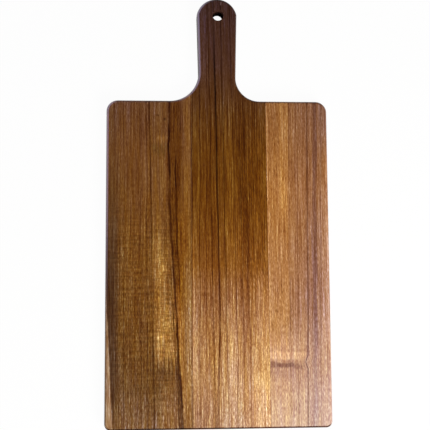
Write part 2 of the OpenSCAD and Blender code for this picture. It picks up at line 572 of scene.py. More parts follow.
print("Group", growth_line.name, "has", len(growth_line.nodes), "nodes")

# %% [markdown]
# Zones
# Colour also changes in patches: heartwood and sapwood, a figured patch, the wood round a small knot. A
# zone is a field of the board, given by its left, right, low and high limits. Its sides are feathered along
# the fibres and its ends are ragged, because in wood no patch ends on a straight line. A patch could also be
# painted on the mesh, but limits in millimetres go on through the thickness of the board.

# %% Group: zone
FEATHER_REACH = (1.3, 55.0)
RAGGED_REACH = (2.5, 35.0)

zone, entry, result = new_group(
    "zone",
    {"Across": 0.0, "Along": 0.0, "Left": -10.0, "Right": 10.0, "Low": -10.0, "High": 10.0, "Lean": 0.0,
     "Soft across": 2.0, "Soft along": 10.0, "Feather": 1.0, "Ragged": 4.0, "Seed": 0.0},
    ["Mask"],
)


def edge_noise(reach_across, reach_along, size):
    """Noise that moves the zone's limits to and fro."""
    noise = spots(
        zone, entry["Seed"],
        calc(zone, "DIVIDE", entry["Across"], reach_across),
        calc(zone, "DIVIDE", entry["Along"], reach_along),
    )
    return both_ways(zone, noise, size)


def inside(value, low, high, soft):
    """1 between two limits, with soft edges."""
    rise = step(zone, value, calc(zone, "SUBTRACT", low, soft), calc(zone, "ADD", low, soft))
    fall = step(zone, value, calc(zone, "SUBTRACT", high, soft), calc(zone, "ADD", high, soft))
    return calc(zone, "SUBTRACT", rise, fall)


lean_here = calc(zone, "MULTIPLY", entry["Lean"], calc(zone, "DIVIDE", entry["Along"], LEAN_RUN))
upright = calc(zone, "SUBTRACT", entry["Across"], lean_here)
feathered = calc(zone, "ADD", upright, edge_noise(*FEATHER_REACH, entry["Feather"]))
ragged = calc(zone, "ADD", entry["Along"], edge_noise(*RAGGED_REACH, entry["Ragged"]))
sides = inside(feathered, entry["Left"], entry["Right"], entry["Soft across"])
ends = inside(ragged, entry["Low"], entry["High"], entry["Soft along"])
feed(zone, result["Mask"], calc(zone, "MULTIPLY", sides, ends))
print("Group", zone.name, "has", len(zone.nodes), "nodes")

# %% [markdown]
# Fibres
# All three staves are one kind of wood, so one group makes their fibres: soft bands, long streaks, short
# ones, fine hairs, and dark pores. Their strengths are inputs, since each stave was sawn from another part
# of the log. Light and dark streaks differ by a factor and not by a sum, so they are added up as powers and
# turned into a tint at the end. Blue swings most and red least, which makes dark fibres redder, and how far
# it swings is each stave's own. The hue also changes by itself, in stripes that are wider than the fibres.

# %% Group: fibres
STREAK_SIZES = {
    "Bands": (6.0, 420.0), "Broad": (2.4, 220.0), "Fine": (0.75, 60.0), "Short": (0.75, 14.0),
    "Hair": (0.75, 3.6),
}
SWINGS = {"Red": 0.73, "Green": 1.13}
HUES = {"Red": 0.0, "Green": 0.12, "Blue": 1.0}
HUE_STRIPES = (2.4, 32.0)
PITS = {"Width": 0.75, "Length": 7.0, "Level": 0.58}
PIT_DEPTH = 0.8
PIT_ROUGHNESS = 0.12
FIBRE_ROUGHNESS = 0.3
FIBRE_GLOSS = 0.06

fibres, entry, result = new_group(
    "fibres",
    {**SPACE, "Seed": 0.0, "Bands": 0.15, "Broad": 0.25, "Fine": 0.6, "Short": 0.5, "Hair": 0.5,
     "Pores": 0.4, "Hue": 0.3, "Blue swing": 1.7},
    ["Tint", "Height", "Roughness"], colours=["Tint"],
)
space = {label: entry[label] for label in SPACE}


def fibre_noise(width, length, offset):
    values = {"Width": width, "Length": length, "Seed": calc(fibres, "ADD", entry["Seed"], offset)}
    return use(fibres, streaks, {**space, **values})["Value"]


streak_values = {}
shade = 0.0
for count, (label, (width, length)) in enumerate(STREAK_SIZES.items()):
    streak_values[label] = fibre_noise(width, length, count)
    swing = calc(fibres, "MULTIPLY_ADD", streak_values[label], 2.0, -1.0)
    shade = calc(fibres, "MULTIPLY_ADD", swing, entry[label], shade)
pits = use(fibres, pores, {**space, **PITS, "Seed": entry["Seed"]})["Mask"]
shade = calc(fibres, "SUBTRACT", shade, calc(fibres, "MULTIPLY", pits, entry["Pores"]))
hue = calc(fibres, "MULTIPLY_ADD", fibre_noise(*HUE_STRIPES, 9.0), 2.0, -1.0)
hue = calc(fibres, "MULTIPLY", hue, entry["Hue"])
parts = {}
for label, swing in {**SWINGS, "Blue": entry["Blue swing"]}.items():
    power = calc(fibres, "MULTIPLY", shade, swing)
    power = calc(fibres, "MULTIPLY_ADD", hue, HUES[label], power)
    parts[label] = calc(fibres, "EXPONENT", power)
feed(fibres, result["Tint"], add(fibres, "CombineColor", parts).outputs[0])
feed(fibres, result["Height"], calc(fibres, "MULTIPLY_ADD", pits, -PIT_DEPTH, streak_values["Hair"]))
rough = calc(fibres, "MULTIPLY_ADD", streak_values["Fine"], -FIBRE_GLOSS, FIBRE_ROUGHNESS)
feed(fibres, result["Roughness"], calc(fibres, "MULTIPLY_ADD", pits, PIT_ROUGHNESS, rough))
print("Group", fibres.name, "has", len(fibres.nodes), "nodes")

# %% [markdown]
# Edges
# Where the grain is cut across, the open cells drink more oil and turn dark and matt, at the head and at
# the foot. Along the foot the darkening is made much stronger than at the head, and that extra darkness is
# painted shade; the foot is matt as well. The walls are matt too, and the walls that face left, away
# from the window, are painted darker as painted shade. The rounded edges that face left, on the side by
# which the board is taken up, are rubbed by hands. They have a polish that mirrors the room while the
# faces stay satin, and it fades out towards the foot. Edges could be marked by hand on the mesh, but the
# surface's own normal already tells them apart: it points up on the faces, sideways on the rounded edges,
# and along the board on the end grain.

# %% Group: edges
FOOT_FACING = (-0.12, -0.55)
HEAD_FACING = (0.6, 1.0)
LEFT_FACING = (-0.6, -0.9)
DRY_FACING = (-0.08, -0.4)
WALL_FACING = (0.45, 0.1)
ROUNDED_FACING = (0.998, 0.975)
RUBBED_FACING = (0.05, -0.3)
HEAD_DARK = 0.4
LEFT_SHADE = 0.5
WALL_MATT = 0.8
RIGHT_POLISH = 0.05
POLISH_FADE = (-125.0, 20.0)

edge_wear, entry, result = new_group("edge_wear", {"Along": 0.0}, ["Dark", "Matt", "Polish"])
facing = add(edge_wear, "SeparateXYZ", {0: add(edge_wear, "TexCoord").outputs["Normal"]}).outputs
upward = calc(edge_wear, "ABSOLUTE", facing["Z"])
# End grain darkens at both ends; the foot is darkened fully, and the extra over the head is painted shade.
foot_grain_and_shade = step(edge_wear, facing["Y"], *FOOT_FACING)
at_head = step(edge_wear, facing["Y"], *HEAD_FACING, last=HEAD_DARK)
# Walls facing left, away from the window, are painted darker: painted shade.
left_painted_shade = step(edge_wear, facing["X"], *LEFT_FACING, last=LEFT_SHADE)
ends_grain_and_shade = calc(edge_wear, "ADD", foot_grain_and_shade, at_head)
feed(edge_wear, result["Dark"], calc(edge_wear, "MAXIMUM", ends_grain_and_shade, left_painted_shade))
dry_foot = step(edge_wear, facing["Y"], *DRY_FACING)
on_wall = step(edge_wear, upward, *WALL_FACING, last=WALL_MATT)
matt = calc(edge_wear, "MAXIMUM", dry_foot, on_wall)
feed(edge_wear, result["Matt"], matt)
rounded = step(edge_wear, upward, *ROUNDED_FACING)
rubbed = step(edge_wear, facing["X"], *RUBBED_FACING, first=RIGHT_POLISH)
polish = calc(edge_wear, "MULTIPLY", rounded, rubbed)
polish = calc(edge_wear, "MULTIPLY", polish, calc(edge_wear, "SUBTRACT", 1.0, matt))
polish = calc(edge_wear, "MULTIPLY", polish, step(edge_wear, entry["Along"], *POLISH_FADE))
feed(edge_wear, result["Polish"], polish)
print("Group", edge_wear.name, "has", len(edge_wear.nodes), "nodes")

# %% [markdown]
# Tones
# Tones are written from 0 to 255, as a picture editor shows them, because they are easiest to judge that
# way. The shader works in linear light, so one helper converts them, and another blends two with a mask.

# %% Helpers: tones


def blend(tree, mask, first, second, way="MIX"):
    """Two colours blended where the mask is 1."""
    sources = {0: mask, 6: first, 7: second}
    return add(tree, "Mix", sources, data_type="RGBA", blend_type=way).outputs[2]


def tone(red, green, blue):
    """A colour as a picture editor shows it, from 0 to 255, made linear for the shader."""
    linear = []
    for part in (red / 255, green / 255, blue / 255):
        linear.append(part / 12.92 if part <= 0.04045 else ((part + 0.055) / 1.055) ** 2.4)
    return (*linear, 1.0)


print("A mid brown in the shader's linear values:", [round(part, 3) for part in tone(140, 90, 50)])

# %% [markdown]
# How a stave gets its finish
# A finish starts with a tone along the stave, from the handle's end to the foot; on the middle and right
# staves that tone holds painted light as well as the wood's own tone. Layers then go over it as a painter
# would lay them: lay() covers a masked area with another tone, and stain() darkens or lightens what is
# there. The fibres come last, over everything. Each layer is a chain of nodes, and a class was chosen
# because it remembers the last colour, so that a layer takes one line. At the end the colour, a roughness
# and a bump go into one shader with the satin gloss of oiled wood. The polish of the edges is that
# shader's coat, which refracts more than oil does, so that it mirrors more than the faces.

# %% Class: the finish of one stave
GRAIN_AND_SHADE_TINT = (0.12, 0.07, 0.06)
GLOSS = 0.15
BUMP = {"Strength": 0.25, "Distance": 0.1 * MM}
POLISH_ROUGHNESS = 0.42
POLISH_IOR = 1.9


class StaveFinish:
    """Builds the material of one stave, layer by layer, with places in millimetres."""

    def __init__(self, name, seed, grain, tones):
        self.material = bpy.data.materials.new(name)
        self.material.use_nodes = True
        self.tree = self.material.node_tree
        self.seed = seed
        spot = use(self.tree, grain_place, {"Seed": seed, **grain})
        self.place = {"Across": spot["Across"], "Along": spot["Along"]}
        self.depth = spot["Depth"]
        self.straight = spot["Straight"]
        share = step(self.tree, spot["Along"], foot / MM, tip / MM, smooth=False)
        ramp = add(self.tree, "ValToRGB", {"Fac": share})
        stops = ramp.color_ramp.elements
        stops.remove(stops[1])
        for count, (along, colour) in enumerate(sorted(tones.items())):
            position = (along * MM - foot) / (tip - foot)
            stop = stops[0] if count == 0 else stops.new(position)
            stop.position = position
            stop.color = colour
        self.colour = ramp.outputs["Color"]

    def lay(self, mask, colour, strength=1.0):
        """Covers a masked area with a tone."""
        self.colour = blend(self.tree, self.both(mask, strength), self.colour, colour)

    def stain(self, mask, tint, strength=1.0):
        """Multiplies the colour in a masked area, below 1 to darken and above 1 to lighten."""
        tint = tint if isinstance(tint, bpy.types.NodeSocket) else (*tint, 1.0)
        self.colour = blend(self.tree, self.both(mask, strength), self.colour, tint, "MULTIPLY")

    def both(self, first, *others):
        """Several masks multiplied."""
        for other in others:
            first = calc(self.tree, "MULTIPLY", first, other)
        return first

    def left_of(self, line):
        """Everything to the left of a growth line."""
        return calc(self.tree, "SUBTRACT", 1.0, line["Right of it"])

    def fade(self, start, end, first=0.0, last=1.0):
        """A value that changes along the stave."""
        return step(self.tree, self.place["Along"], start, end, first=first, last=last)

    def field(self, left, right, low, high, lean=0.0, soft=(2.0, 15.0), ragged=(1.5, 8.0)):
        """A field with soft, ragged limits that leans by so many millimetres in a hundred."""
        values = {"Left": left, "Right": right, "Low": low, "High": high, "Lean": lean,
                  "Soft across": soft[0], "Soft along": soft[1], "Feather": ragged[0],
                  "Ragged": ragged[1], "Seed": self.seed + left}
        return use(self.tree, zone, {**self.place, **values})["Mask"]

    def line(self, place, turn, leans, width, wobble=0.4, breaks=0.4):
        """A growth line through a place, which turns at a level from one lean to another."""
        values = {"Place": place, "Turn": turn, "Lean above": leans[0], "Lean below": leans[1],
                  "Width": width, "Wobble": wobble, "Breaks": breaks, "Seed": self.seed + place}
        return use(self.tree, growth_line, {**self.place, **values})

    def seam(self, place, lean, width):
        """A straight line along a glued joint, which does not wander with the fibres."""
        values = {"Across": self.straight, "Along": self.place["Along"], "Place": place, "Width": width,
                  "Lean above": lean, "Lean below": lean, "Wobble": 0.0, "Seed": self.seed}
        return use(self.tree, growth_line, values)["Line"]

    def noise(self, width, length, seed=0.0, slant=0.0):
        """Streaks of a width and a length, which may run at a slant to the grain."""
        across = calc(self.tree, "MULTIPLY_ADD", self.place["Along"], slant, self.place["Across"])
        values = {"Across": across, "Along": self.place["Along"], "Depth": self.depth,
                  "Width": width, "Length": length, "Seed": self.seed + seed}
        return use(self.tree, streaks, values)["Value"]

    def two_tints(self, mask, dark, light):
        """A tint that goes from a dark one to a light one with a mask."""
        return blend(self.tree, mask, (*dark, 1.0), (*light, 1.0))

    def flecks(self, width, length, level, seed=0.0):
        """Scattered pores of a width and a length."""
        values = {"Depth": self.depth, "Width": width, "Length": length, "Level": level,
                  "Seed": self.seed + seed}
        return use(self.tree, pores, {**self.place, **values})["Mask"]

    def finish(self, **strengths):
        """Lays the fibres over the tones and sets up the shader."""
        values = {**self.place, "Depth": self.depth, "Seed": self.seed, **strengths}
        grain = use(self.tree, fibres, values)
        self.stain(1.0, grain["Tint"])
        edges = use(self.tree, edge_wear, {"Along": self.place["Along"]})
        # Darkens the end grain, with painted shade along the foot and on the walls that face left.
        self.stain(edges["Dark"], GRAIN_AND_SHADE_TINT)
        bump = add(self.tree, "Bump", {**BUMP, "Height": grain["Height"]})
        shader = self.tree.nodes["Principled BSDF"].inputs
        feed(self.tree, shader["Base Color"], self.colour)
        feed(self.tree, shader["Roughness"], calc(self.tree, "MAXIMUM", grain["Roughness"], edges["Matt"]))
        feed(self.tree, shader["Normal"], bump.outputs["Normal"])
        feed(self.tree, shader["Coat Weight"], edges["Polish"])
        shader["Coat Roughness"].default_value = POLISH_ROUGHNESS
        shader["Coat IOR"].default_value = POLISH_IOR
        shader["Specular IOR Level"].default_value = GLOSS
        print(self.material.name, "has", len(self.tree.nodes), "nodes")


print("Layers:", [name for name in vars(StaveFinish) if not name.startswith("_")])

# %% [markdown]
# The left stave
# This stave is brown, with one strong dark streak that wanders towards the middle as it goes down. The left
# edge is dark low down, with a wedge of pale sapwood at the very side. The growth lines are placed first,
# because several tones end at one of them, and the wide tones are laid next.

# %% Left stave: growth lines and tones
left = StaveFinish("left_stave_wood", 2.0, {"Tilt": 0.4, "Wander": 0.8}, {
    113: tone(119, 79, 50), 60: tone(124, 79, 38), 10: tone(121, 76, 31), -60: tone(119, 76, 29),
    -120: tone(112, 71, 27), -180: tone(104, 69, 32), -221: tone(119, 84, 52),
})
thin_line = left.line(-68.4, -22, (-1.9, -1.8), 1.1, breaks=0.25)["Line"]
dark_streak = left.line(-50.2, 8, (0.0, -6.2), 1.7, wobble=1.6, breaks=0.4)
streak_side = left.line(-51.2, 8, (0.0, -6.1), 3.6, wobble=1.6)
inner_strand = left.line(-52.4, 8, (0.0, -5.4), 1.1, wobble=1.5, breaks=0.4)
branch = left.line(-42.3, -20, (-2.0, -4.0), 1.2, wobble=1.4, breaks=0.6)
figure_side = left.line(-66.0, -22, (-1.9, -2.0), 4.5, wobble=1.5)
sapwood = left.line(-109.3, -170, (-5.3, -4.9), 0.9, wobble=0.5)

left.stain(left.field(-91, -80, -200, 130, soft=(3.0, 30.0)), (0.92, 0.88, 0.82))
left.stain(left.field(-98, -89, -225, 10, soft=(3.0, 40.0)), (1.1, 1.12, 1.12))
left.stain(left.field(-120, -90, -190, 50, soft=(6.0, 30.0)), (0.98, 1.04, 1.22))
left.lay(left.field(-69, -54, 25, 118), tone(128, 86, 42), 0.5)
dark_side = left.both(
    sapwood["Right of it"], left.fade(70, -90, 0.25, 0.92),
    left.field(-120, -102.5, -210, 140, soft=(5.0, 25.0)),
)
left.lay(dark_side, tone(72, 45, 26))
left.lay(left.field(-50, -37, -70, 130, lean=-1.0, soft=(3.0, 35.0)), tone(100, 55, 8), 0.85)
left.lay(left.field(-35, -20, -240, 140, soft=(3.0, 20.0), ragged=(3.0, 20.0)), tone(140, 92, 36), 0.6)
left.lay(left.field(-41, -33, -135, 5, soft=(2.0, 20.0)), tone(137, 84, 20), 0.65)
left.lay(left.field(-34, -20, -202, -75, soft=(2.0, 25.0), ragged=(2.0, 20.0)), tone(166, 124, 75), 0.7)
gold_side = left.both(dark_streak["Right of it"], left.field(-60, -34.5, -215, -108, soft=(2.0, 15.0)))
left.lay(gold_side, tone(164, 113, 54), 0.75)
print(left.material.name, "has", len(left.tree.nodes), "nodes with its tones")

# %% [markdown]
# The figured patch
# Between the dark streak and a thin line to its left lies a golden patch, where the fibres wave and catch
# the light in ripples. Clouds and ripples are tints that go from dark to light with noise of several sizes,
# and they are stained over the patch one after the other. A fainter ripple runs on beyond it.

# %% Left stave: figured patch
figure = left.both(
    figure_side["Right of it"], left.left_of(streak_side), left.fade(5, -70),
    left.field(-90, -20, -157, 90, soft=(2.0, 12.0), ragged=(0.0, 12.0)),
)
early_figure = left.both(figure_side["Right of it"], left.field(-80, -59, -60, 35, soft=(3.0, 30.0)))
clouds = left.two_tints(left.noise(5.0, 16.0, 5.0), (0.78, 0.74, 0.68), (1.17, 1.2, 1.24))
ripple = left.two_tints(left.noise(8.5, 2.4, 7.0), (0.76, 0.73, 0.68), (1.25, 1.3, 1.38))
fine_ripple = left.two_tints(left.noise(6.0, 1.3, 9.0), (0.8, 0.77, 0.73), (1.2, 1.24, 1.3))
faint_ripple = left.two_tints(left.noise(14.0, 1.7, 7.5), (0.8, 0.78, 0.75), (1.2, 1.23, 1.27))
left.lay(early_figure, tone(148, 102, 46), 0.3)
left.lay(figure, tone(164, 116, 58), 0.85)
bright_core = left.field(-69, -60.5, -152, -40, lean=-9.0, soft=(3.0, 15.0), ragged=(2.0, 10.0))
left.stain(left.both(bright_core, figure), (1.1, 1.13, 1.14))
dull_side = left.field(-58, -51, -108, -15, lean=-5.0, soft=(2.5, 12.0))
left.stain(left.both(dull_side, left.left_of(streak_side)), (0.74, 0.66, 0.56))
left.stain(figure, clouds)
left.stain(figure, ripple)
left.stain(figure, fine_ripple)
left.stain(left.field(-112, -38, -215, 5, soft=(6.0, 40.0)), faint_ripple)
print(left.material.name, "has", len(left.tree.nodes), "nodes with its figure")

# %% [markdown]
# Marks and lines of the left stave
# Small marks and the growth lines come last, since they lie over all tones. A line is strong in one place
# and faint in another, so most of them are multiplied with a fade along the stave. The dark side and the
# sapwood have a finer grain than the rest, so their fibres are calmed.

# %% Left stave: marks, lines and fibres
CALMING = 0.65

smudge = left.field(-82, -66, -176, -158, lean=-8.0, soft=(6.0, 6.0), ragged=(4.0, 10.0))
left.stain(smudge, (0.8, 0.76, 0.72), 0.9)
left.stain(left.field(-57.5, -49.5, -240, -173, soft=(2.5, 7.0)), (1.38, 1.42, 1.45))
left.stain(left.field(-50, -39.5, -225, -170, soft=(2.5, 7.0)), (1.28, 1.28, 1.26))
left.stain(left.field(-45, -39.5, -138, -78, soft=(1.5, 10.0)), (1.28, 1.24, 1.15))
left.stain(left.field(-66, -42, -205, -165, soft=(5.0, 8.0)), fine_ripple, 0.9)
left.lay(left.left_of(sapwood), tone(157, 121, 87), 0.95)
left.lay(left.field(-63, -53, 69, 75, soft=(2.0, 2.0), ragged=(1.0, 3.0)), tone(160, 112, 56), 0.6)
left.stain(left.field(-68, -52, 58, 66, soft=(2.5, 3.0)), (0.78, 0.84, 0.75), 0.8)
left.stain(left.field(-56, -53.6, 91.5, 94.5, soft=(0.8, 0.8), ragged=(0.0, 0.0)), (0.45, 0.38, 0.33))
left.stain(left.field(-64, -60, 96.5, 98, soft=(1.5, 0.6), ragged=(0.0, 1.0)), (0.55, 0.46, 0.4))
dashes = left.flecks(1.4, 18.0, 0.55, 6.0)
left.stain(left.both(left.field(-51, -37, -70, 130, soft=(2.0, 30.0)), dashes), (0.6, 0.46, 0.3))
left.stain(left.both(streak_side["Line"], left.fade(-95, -140)), (0.66, 0.58, 0.5))
left.stain(left.both(streak_side["Line"], dashes, left.fade(-60, -110)), (0.45, 0.33, 0.24))
left.stain(left.both(thin_line, left.fade(-60, -25)), (0.42, 0.32, 0.24))
left.stain(left.both(thin_line, left.fade(-110, -145)), (0.5, 0.4, 0.32))
left.stain(left.both(thin_line, left.field(-80, -60, -140, -30)), (0.82, 0.76, 0.7))
left.stain(dark_streak["Line"], (0.3, 0.17, 0.1))
left.stain(left.both(dark_streak["Line"], left.field(-60, -40, 35, 92, soft=(2.0, 8.0))), (0.5, 0.4, 0.35))
crack = left.both(dark_streak["Line"], left.field(-75, -40, -146, -118, soft=(2.0, 5.0)))
left.stain(crack, (0.5, 0.42, 0.38))
left.stain(left.both(inner_strand["Line"], left.fade(-45, -80)), (0.45, 0.33, 0.24))
left.stain(left.both(branch["Line"], left.fade(-105, -70), left.fade(62, 40)), (0.4, 0.26, 0.12))
left.stain(left.line(-96.5, 0, (-0.8, -0.6), 0.9)["Line"], (0.68, 0.6, 0.52))
left.stain(left.line(-79.0, -40, (-1.2, -0.9), 0.8)["Line"], (0.66, 0.56, 0.48))
left.stain(left.line(-73.0, -20, (-0.6, -0.8), 0.8, breaks=0.8)["Line"], (0.6, 0.5, 0.42))
by_strip = left.line(-33.2, -150, (0.0, 0.0), 0.9)["Line"]
left.stain(left.both(by_strip, left.fade(-60, -100)), (0.72, 0.64, 0.56))
by_joint = left.seam(left_glue[0] / MM - 0.7, 0.0, 1.1)
left.stain(left.both(by_joint, left.fade(-50, 0, 0.5, 1.0)), (0.5, 0.4, 0.3))
smooth_wood = calc(left.tree, "MAXIMUM", dark_side, left.left_of(sapwood))
calm = calc(left.tree, "MULTIPLY_ADD", smooth_wood, -CALMING, 1.0)
left.finish(
    Bands=0.06, Broad=0.14, Fine=0.64, Short=left.fade(0, -160, 0.34, 0.6),
    Hair=left.both(calm, left.fade(60, -120, 0.36, 0.72)), Pores=0.4, Hue=left.both(calm, 0.45),
)

# %% [markdown]
# The middle stave and the handle
# The middle stave runs from the foot to the handle's tip. It is a deep olive brown at the top and turns to a
# pale gold towards the foot. That change is partly the wood's own tone and partly painted light, darker
# towards the handle and paler towards the foot, where the window shines. Light and dark bands, wider than
# the fibres, run along it.

# %% Middle stave: tones and bands
# The tones along this stave hold painted light as well as the wood's own tone: darker up top, paler below.
middle = StaveFinish("centre_stave_wood", 7.0, {"Tilt": 0.15, "Wander": 0.7}, {
    223: tone(70, 45, 38), 195: tone(80, 50, 39), 150: tone(88, 55, 37), 125: tone(90, 54, 26),
    100: tone(94, 54, 16), 60: tone(102, 57, 9), 20: tone(103, 57, 8), -20: tone(109, 61, 11),
    -60: tone(122, 71, 20), -90: tone(136, 86, 43), -120: tone(152, 103, 59), -150: tone(161, 113, 67),
    -180: tone(167, 122, 79), -221: tone(158, 116, 82),
})
middle.stain(middle.field(-27, -18, -175, 100, soft=(3.5, 25.0)), (1.22, 1.4, 1.8))
middle.stain(middle.field(-17, -10.5, -190, 230, soft=(3.0, 15.0)), (1.1, 1.15, 1.3))
middle.stain(middle.field(2.5, 8, -240, 130, lean=-0.5, soft=(2.5, 15.0)), (1.18, 1.3, 1.5))
middle.stain(middle.field(8.5, 17.5, -240, 120, lean=-1.0, soft=(2.5, 20.0)), (1.36, 1.58, 2.05))
middle.stain(middle.field(17.5, 22, -190, 10, lean=-1.0, soft=(2.5, 30.0)), (1.22, 1.32, 1.55))
middle.stain(middle.field(22, 60, -240, -170, lean=-1.0, soft=(2.0, 25.0)), (1.2, 1.24, 1.3))
middle.stain(middle.field(23, 32, -150, -78, lean=-1.0, soft=(2.0, 25.0)), (0.95, 0.9, 0.95))
middle.stain(middle.field(21, 30, -5, 78, lean=-2.4, soft=(2.0, 12.0)), (0.8, 0.74, 0.65))
middle.stain(middle.field(32, 60, -240, -70, lean=-1.5, soft=(2.0, 18.0)), (1.25, 1.35, 1.45))
middle.stain(middle.field(41, 60, -240, 130, soft=(3.0, 20.0)), (1.16, 1.22, 1.35))
middle.stain(middle.field(39, 60, -240, -150, soft=(2.5, 20.0)), (0.9, 0.87, 0.76))
middle.stain(middle.field(-18, -3, -185, -128, soft=(2.0, 15.0)), (0.92, 0.88, 0.82))
middle.stain(middle.field(43, 60, -184, -148, soft=(2.0, 6.0), ragged=(2.5, 6.0)), (1.08, 1.12, 1.05))
bright_strip = middle.field(-30, -24.3, -175, -22, soft=(0.9, 15.0), ragged=(0.6, 10.0))
middle.stain(bright_strip, (1.35, 1.42, 1.5))
print(middle.material.name, "has", len(middle.tree.nodes), "nodes with its bands")

# %% [markdown]
# Slanted fibres and growth lines of the middle stave
# On the right of this stave the fibres of the upper half lie at a slant, as in interlocked grain, which
# slanted noise gives. Fine dark growth lines run along the whole length. Towards the foot small light and
# dark specks over the pale wood are painted glints of the sheen, and on the handle the fibres are fainter.

# %% Middle stave: slanted fibres and growth lines
slanted = middle.field(22, 60, -95, 100, soft=(4.0, 20.0), ragged=(3.0, 8.0))
slant = middle.two_tints(middle.noise(1.3, 9.0, 5.0, slant=0.22), (0.74, 0.68, 0.62), (1.3, 1.36, 1.44))
mottle = middle.two_tints(middle.noise(3.2, 22.0, 6.0, slant=0.1), (0.88, 0.85, 0.8), (1.12, 1.15, 1.2))
middle.stain(slanted, slant)
middle.stain(slanted, mottle)
main_line = middle.line(1.7, -114, (-1.7, 2.9), 1.4, breaks=0.3)["Line"]
middle.stain(middle.both(main_line, middle.fade(-110, 90), middle.fade(205, 140, 0.35)), (0.15, 0.09, 0.08))
low_main = middle.both(main_line, middle.fade(90, -110), middle.fade(-195, -145, 0.6, 1.0))
middle.stain(low_main, (0.26, 0.11, 0.07))
second_line = middle.line(7.0, -22, (-1.4, -1.4), 1.0, breaks=0.4)["Line"]
middle.stain(middle.both(second_line, middle.fade(-150, -90, 0.55)), (0.46, 0.36, 0.26))
middle.stain(middle.line(-7.0, 20, (-1.4, -1.4), 0.9, breaks=0.4)["Line"], (0.5, 0.38, 0.28))
middle.stain(middle.line(-12.3, -170, (0.3, 1.0), 0.8, breaks=0.6)["Line"], (0.6, 0.46, 0.38))
middle.stain(middle.line(-19.0, -150, (0.2, 0.5), 0.9, breaks=0.5)["Line"], (0.58, 0.46, 0.38))
middle.stain(middle.line(19.2, -150, (-1.6, 0.8), 0.8, breaks=0.4)["Line"], (0.5, 0.38, 0.32))
middle.stain(middle.line(24.0, -20, (-1.4, -1.0), 0.8, breaks=0.8)["Line"], (0.6, 0.48, 0.4))
right_line = middle.line(30.3, -30, (-2.6, -0.9), 1.2, breaks=0.5)["Line"]
right_fade = middle.both(middle.fade(140, -60, 0.4, 0.9), middle.fade(-135, -105))
middle.stain(middle.both(right_line, right_fade), (0.5, 0.36, 0.28))
low_line = middle.line(32.6, -140, (0.0, 1.0), 0.8, breaks=0.3)["Line"]
middle.stain(middle.both(low_line, middle.fade(-105, -135)), (0.6, 0.45, 0.38))
middle.stain(middle.seam(left_glue[1] / MM + 0.3, 0.0, 0.8), (0.5, 0.4, 0.32))
tip_mark = middle.field(3.7, 5.0, 215.8, 220.0, soft=(0.4, 0.6), ragged=(0.0, 0.0))
middle.lay(tip_mark, tone(118, 95, 102), 0.85)
# Painted glints: small light and dark specks that stand for the sheen sparkling towards the foot.
painted_glints = middle.two_tints(middle.noise(0.9, 1.5, 8.0), (0.83, 0.79, 0.75), (1.18, 1.24, 1.27))
middle.stain(middle.fade(-20, -130), painted_glints)
on_handle = middle.fade(95, 140, 1.0, 0.6)
middle.finish(
    Bands=0.03, Broad=0.08, Fine=middle.both(middle.fade(-20, -130, 0.98, 0.62), on_handle),
    Short=middle.both(middle.fade(0, -140, 0.45, 0.5), on_handle),
    Hair=middle.fade(60, -120, 0.3, 0.58), Pores=0.32, Hue=0.3,
    **{"Blue swing": middle.fade(-40, -130, 1.95, 1.45)},
)

# %% [markdown]
# The right stave
# The right stave is the palest: a golden band by the joint, mauve brown beyond it with darker bands, and a
# paler outer edge. Towards the foot its tones grow paler and greyer: partly the wood's own tone and partly
# a painted sheen of the window.

# %% Right stave: tones and bands
# The tones along this stave grow paler and greyer at the foot: the wood's own tone and a painted sheen.
right = StaveFinish(
    "right_stave_wood", 11.0,
    {"Tilt": -0.3, "Wander": 0.7, "Bend": 2.6, "Bend across": 90.0, "Bend along": -157.0},
    {113: tone(147, 101, 69), 60: tone(150, 101, 64), 20: tone(158, 107, 67), -20: tone(157, 108, 70),
     -90: tone(154, 108, 78), -120: tone(164, 120, 89), -150: tone(174, 133, 106), -180: tone(180, 143, 118),
     -221: tone(181, 149, 127)},
)
right.stain(right.field(30, 73, -134, 130, lean=0.9, soft=(2.0, 14.0)), (1.2, 1.17, 0.82))
right.stain(right.field(30, 73, -155, -134, soft=(4.0, 6.0)), (1.2, 1.22, 1.12))
right.stain(right.field(64, 72, -10, 130, lean=0.5, soft=(1.5, 15.0)), (1.2, 1.28, 1.28))
right.stain(right.field(73, 79, -100, 130, lean=1.0), (1.1, 1.12, 1.0))
right.stain(right.field(90.5, 97, -240, 130, lean=0.8, soft=(2.0, 15.0)), (0.94, 0.93, 0.97))
mauve = right.field(98, 103, -260, 130, lean=1.4, soft=(1.5, 20.0))
right.stain(right.both(mauve, right.fade(-190, -100, 0.62, 1.0)), (0.63, 0.59, 0.78))
right.stain(right.field(104.5, 125, -130, 130, lean=1.5, soft=(1.5, 30.0)), (1.1, 1.2, 1.4))
right.stain(right.field(108.5, 125, -140, 60, lean=1.5, soft=(1.5, 15.0)), (1.12, 1.14, 1.12))
right.stain(right.field(104, 125, 70, 140, lean=1.5, soft=(2.0, 20.0)), (0.82, 0.8, 0.9))
right.stain(right.field(90, 125, -240, 20, soft=(4.0, 40.0)), (1.0, 1.03, 1.15))
print(right.material.name, "has", len(right.tree.nodes), "nodes with its bands")

# %% [markdown]
# The healed wound
# Low down a dark crease crosses the grain where a wound healed, with brighter wood above it, and the growth
# line beside it bends round that place. The crease is three short fields, since it is not straight.

